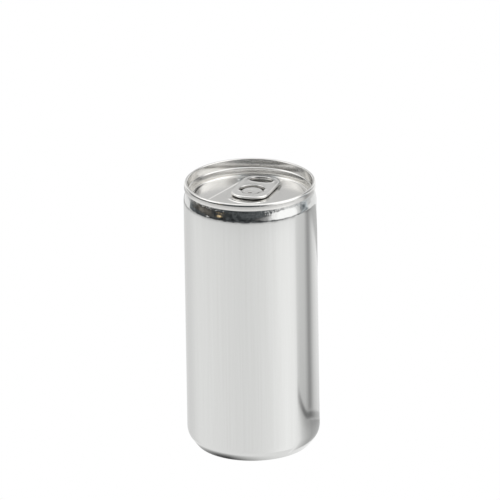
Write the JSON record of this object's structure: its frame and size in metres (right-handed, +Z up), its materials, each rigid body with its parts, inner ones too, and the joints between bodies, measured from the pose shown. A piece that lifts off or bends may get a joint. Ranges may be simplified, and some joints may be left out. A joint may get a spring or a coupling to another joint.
{
  "type": "slim beverage can",
  "caption": "Bare aluminium slim beverage can, shut, with a necked top, double seam, stay-on tab and domed base.",
  "frame": {"origin": "centre of the base, on the surface that the can stands on", "axes": "+Z up along the can's axis, +Y towards the tab's heel, so that the pour opening is on the -Y side, +X to the right of the tab seen with its nose towards the viewer"},
  "size_m": [0.053, 0.053, 0.111],
  "materials": {
    "drawn_wall": "bare drawn and ironed aluminium, satin, with fine upright draw lines, brighter at the neck",
    "rolled_end": "bare rolled aluminium sheet, pressed, half bright",
    "tab_stock": "bare rolled aluminium, half bright, brighter along the curled edges"
  },
  "bodies": {
    "root": {"can_body": "drawn_wall", "can_end": "rolled_end", "pull_tab": "tab_stock"}
  },
  "joints": []
}
